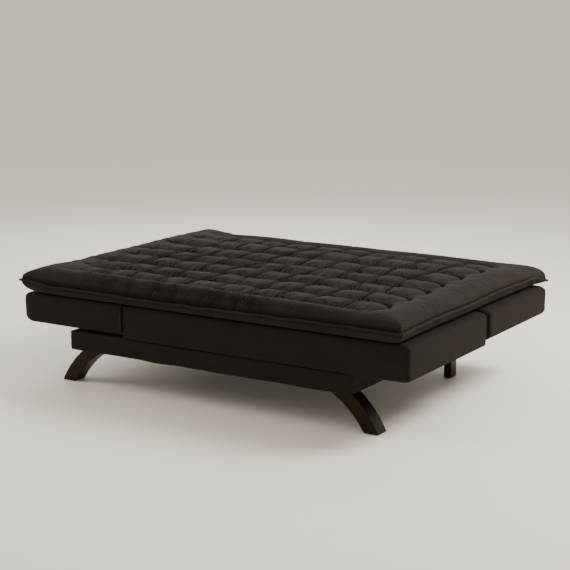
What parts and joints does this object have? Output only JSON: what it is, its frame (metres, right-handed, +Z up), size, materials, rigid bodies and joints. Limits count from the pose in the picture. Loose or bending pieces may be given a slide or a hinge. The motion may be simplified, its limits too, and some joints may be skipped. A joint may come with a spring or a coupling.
{
  "type": "folding sofa bed with pillow-top mattress",
  "caption": "Folding sofa bed laid flat: tufted pillow-top futon mattress on an upholstered seat, arm and back, over a fabric box with bowed legs.",
  "frame": {"origin": "on the floor, below the middle of the mattress's outline", "axes": "+X along the length towards the seat's free end, +Y from the seat's front edge to the back's rear edge, +Z up"},
  "size_m": [1.806, 1.354, 0.478],
  "materials": {
    "mattress_fabric": "brushed woven microfibre, charcoal black, quilted",
    "base_fabric": "brushed woven microfibre, near black, stretched flat",
    "lining": "thin black non-woven lining",
    "foam": "open-cell polyurethane foam and fibre wadding",
    "timber": "sawn pine and plywood, unfinished",
    "leg_lacquer": "black-brown lacquer, semi-gloss",
    "zinc_steel": "zinc-plated pressed steel",
    "spring_steel": "oiled spring wire",
    "black_rubber": "moulded rubber",
    "nylon": "moulded nylon"
  },
  "bodies": {
    "root": {"base_front_rail": "timber", "base_rear_rail": "timber", "base_left_rail": "timber", "base_right_rail": "timber", "base_cross_rails": "timber", "base_leg_blocks": "timber", "base_cover": "base_fabric", "base_dust_panel": "lining", "base_rest_pads": "black_rubber", "front_leg_left": "leg_lacquer", "front_leg_right": "leg_lacquer", "rear_leg_left": "leg_lacquer", "rear_leg_right": "leg_lacquer", "leg_studs": "zinc_steel", "leg_glides": "nylon", "seat_frame": "timber", "seat_springs": "spring_steel", "seat_foam": "foam", "seat_cover": "base_fabric", "seat_dust_panel": "lining", "seat_bolts": "zinc_steel", "back_hinge_fixed_plates": "zinc_steel", "back_hinge_pins": "zinc_steel", "arm_hinge_fixed_plates": "zinc_steel", "arm_hinge_pins": "zinc_steel", "seat_hinge_screws": "zinc_steel", "mattress_seat_core": "foam", "mattress_seat_top": "mattress_fabric", "mattress_seat_underside": "mattress_fabric", "mattress_seat_welt": "mattress_fabric"},
    "arm": {"arm_frame": "timber", "arm_springs": "spring_steel", "arm_foam": "foam", "arm_cover": "base_fabric", "arm_dust_panel": "lining", "arm_hinge_moving_plates": "zinc_steel", "arm_hinge_screws": "zinc_steel", "mattress_arm_core": "foam", "mattress_arm_top": "mattress_fabric", "mattress_arm_underside": "mattress_fabric", "mattress_arm_welt": "mattress_fabric"},
    "back": {"back_frame": "timber", "back_springs": "spring_steel", "back_foam": "foam", "back_cover": "base_fabric", "back_dust_panel": "lining", "back_hinge_moving_plates": "zinc_steel", "back_hinge_screws": "zinc_steel", "mattress_back_core": "foam", "mattress_back_top": "mattress_fabric", "mattress_back_underside": "mattress_fabric", "mattress_back_welt": "mattress_fabric"}
  },
  "joints": [
    {"name": "back_recline", "type": "hinge", "parent": "root", "child": "back", "pos_m": [0, 0.0445, 0.36], "axis": [1, 0, 0], "range_deg": [0, 70]},
    {"name": "arm_raise", "type": "hinge", "parent": "root", "child": "arm", "pos_m": [-0.392, 0, 0.36], "axis": [0, 1, 0], "range_deg": [0, 70]}
  ]
}
